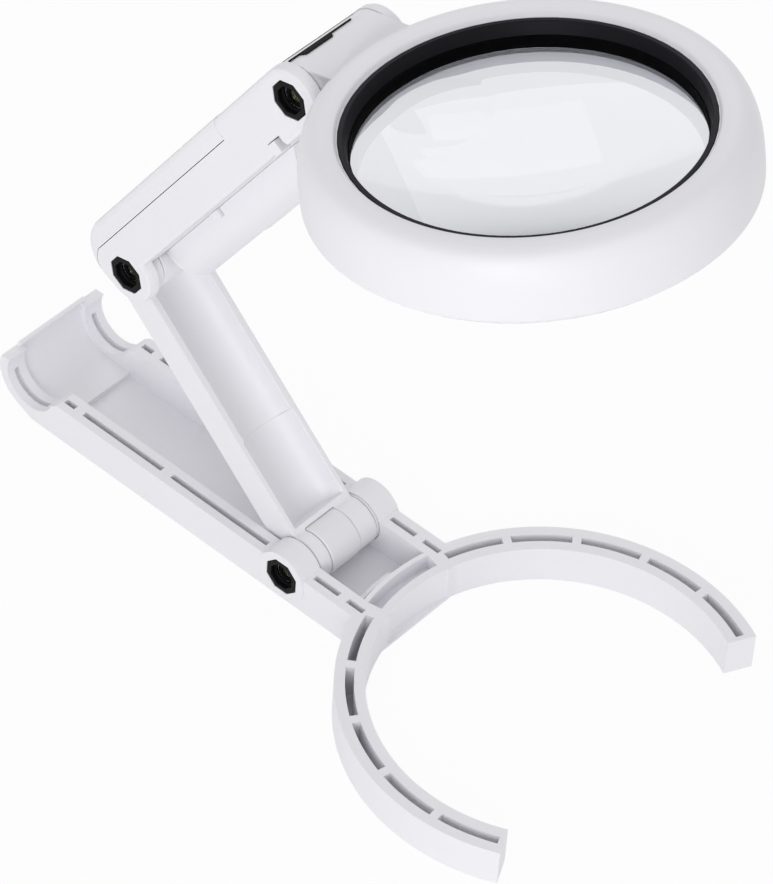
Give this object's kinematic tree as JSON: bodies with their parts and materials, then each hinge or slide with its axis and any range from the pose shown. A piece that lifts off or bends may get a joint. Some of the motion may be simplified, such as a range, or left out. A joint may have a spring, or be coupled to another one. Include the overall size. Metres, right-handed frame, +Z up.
{
  "type": "desk magnifier",
  "caption": "Folding desk magnifier: a lit round lens on a hinged folding arm over a foot with an open ring, which folds flat into the foot's trough.",
  "frame": {"origin": "on the underside of the foot, straight under the foot's hinge axis", "axes": "+X runs from the foot's rear end to its open ring, +Z is up, every hinge axis lies along Y"},
  "size_m": [0.2755, 0.1468, 0.2594],
  "materials": {
    "white_shell": "satin white moulded plastic",
    "black_caps": "satin black",
    "bezel": "satin black, finely grained",
    "brass_screws": "plain",
    "steel_parts": "zinc plated",
    "nylon": "satin white",
    "lens": "clear polished acrylic",
    "light_cover": "milky, lets light through",
    "light_board": "white solder mask",
    "driver_board": "green solder mask",
    "lamps": "yellow phosphor",
    "black_inner": "matt black",
    "cells": "printed foil, bare of print"
  },
  "bodies": {
    "foot": {"foot_cradle": "white_shell", "base_hinge_cap_near": "black_caps", "base_hinge_cap_far": "black_caps", "base_hinge_screw": "brass_screws", "base_hinge_nut": "steel_parts"},
    "lower_arm": {"lower_arm": "white_shell", "base_friction_sleeve": "nylon", "base_bush_near": "nylon", "base_bush_far": "nylon", "elbow_bush_near": "nylon", "elbow_bush_far": "nylon"},
    "upper_arm": {"upper_arm_housing": "white_shell", "belly_housing": "white_shell", "battery_tray": "black_inner", "battery_contact_lower": "steel_parts", "battery_contact_upper": "steel_parts", "driver_board": "driver_board", "switch_body": "black_inner", "battery_cell_1": "cells", "battery_cell_2": "cells", "battery_cell_3": "cells", "elbow_cap_near": "black_caps", "elbow_cap_far": "black_caps", "elbow_screw": "brass_screws", "elbow_nut": "steel_parts", "head_hinge_cap_near": "black_caps", "head_hinge_cap_far": "black_caps", "head_hinge_screw": "brass_screws", "head_hinge_nut": "steel_parts"},
    "battery_cover": {"battery_cover": "white_shell"},
    "switch": {"switch_tab": "white_shell"},
    "head": {"head_bush_near": "nylon", "head_bush_far": "nylon", "head_housing": "white_shell", "lens_bezel": "bezel", "main_lens": "lens", "spot_lens": "lens", "light_ring": "white_shell", "light_board": "light_board", "light_cover": "light_cover", "lamp_1": "lamps", "lamp_2": "lamps", "lamp_3": "lamps", "lamp_4": "lamps", "lamp_5": "lamps", "lamp_6": "lamps", "lamp_7": "lamps", "lamp_8": "lamps"}
  },
  "joints": [
    {"name": "base_hinge", "type": "hinge", "parent": "foot", "child": "lower_arm", "pos_m": [0, 0, 0.0112], "axis": [0, -1, 0], "range_deg": [-4, 43.1]},
    {"name": "elbow_hinge", "type": "hinge", "parent": "lower_arm", "child": "upper_arm", "pos_m": [-0.07648, 0, 0.09961], "axis": [0, 1, 0], "range_deg": [-9.32, 100.31]},
    {"name": "head_hinge", "type": "hinge", "parent": "upper_arm", "child": "head", "pos_m": [-0.00866, 0, 0.22091], "axis": [0, -1, 0], "range_deg": [-4.32, 46.42]},
    {"name": "switch_slide", "type": "slide", "parent": "upper_arm", "child": "switch", "axis": [0.5417, 0, 0.8406], "range_m": [0, 0.003]},
    {"name": "cover_lift", "type": "slide", "parent": "upper_arm", "child": "battery_cover", "axis": [-0.8406, 0, 0.5417], "range_m": [0, 0.022]}
  ],
  "couplings": [
    {"joint": "elbow_hinge", "follows": "base_hinge", "ratio": 2.327},
    {"joint": "head_hinge", "follows": "base_hinge", "ratio": 1.0766}
  ]
}
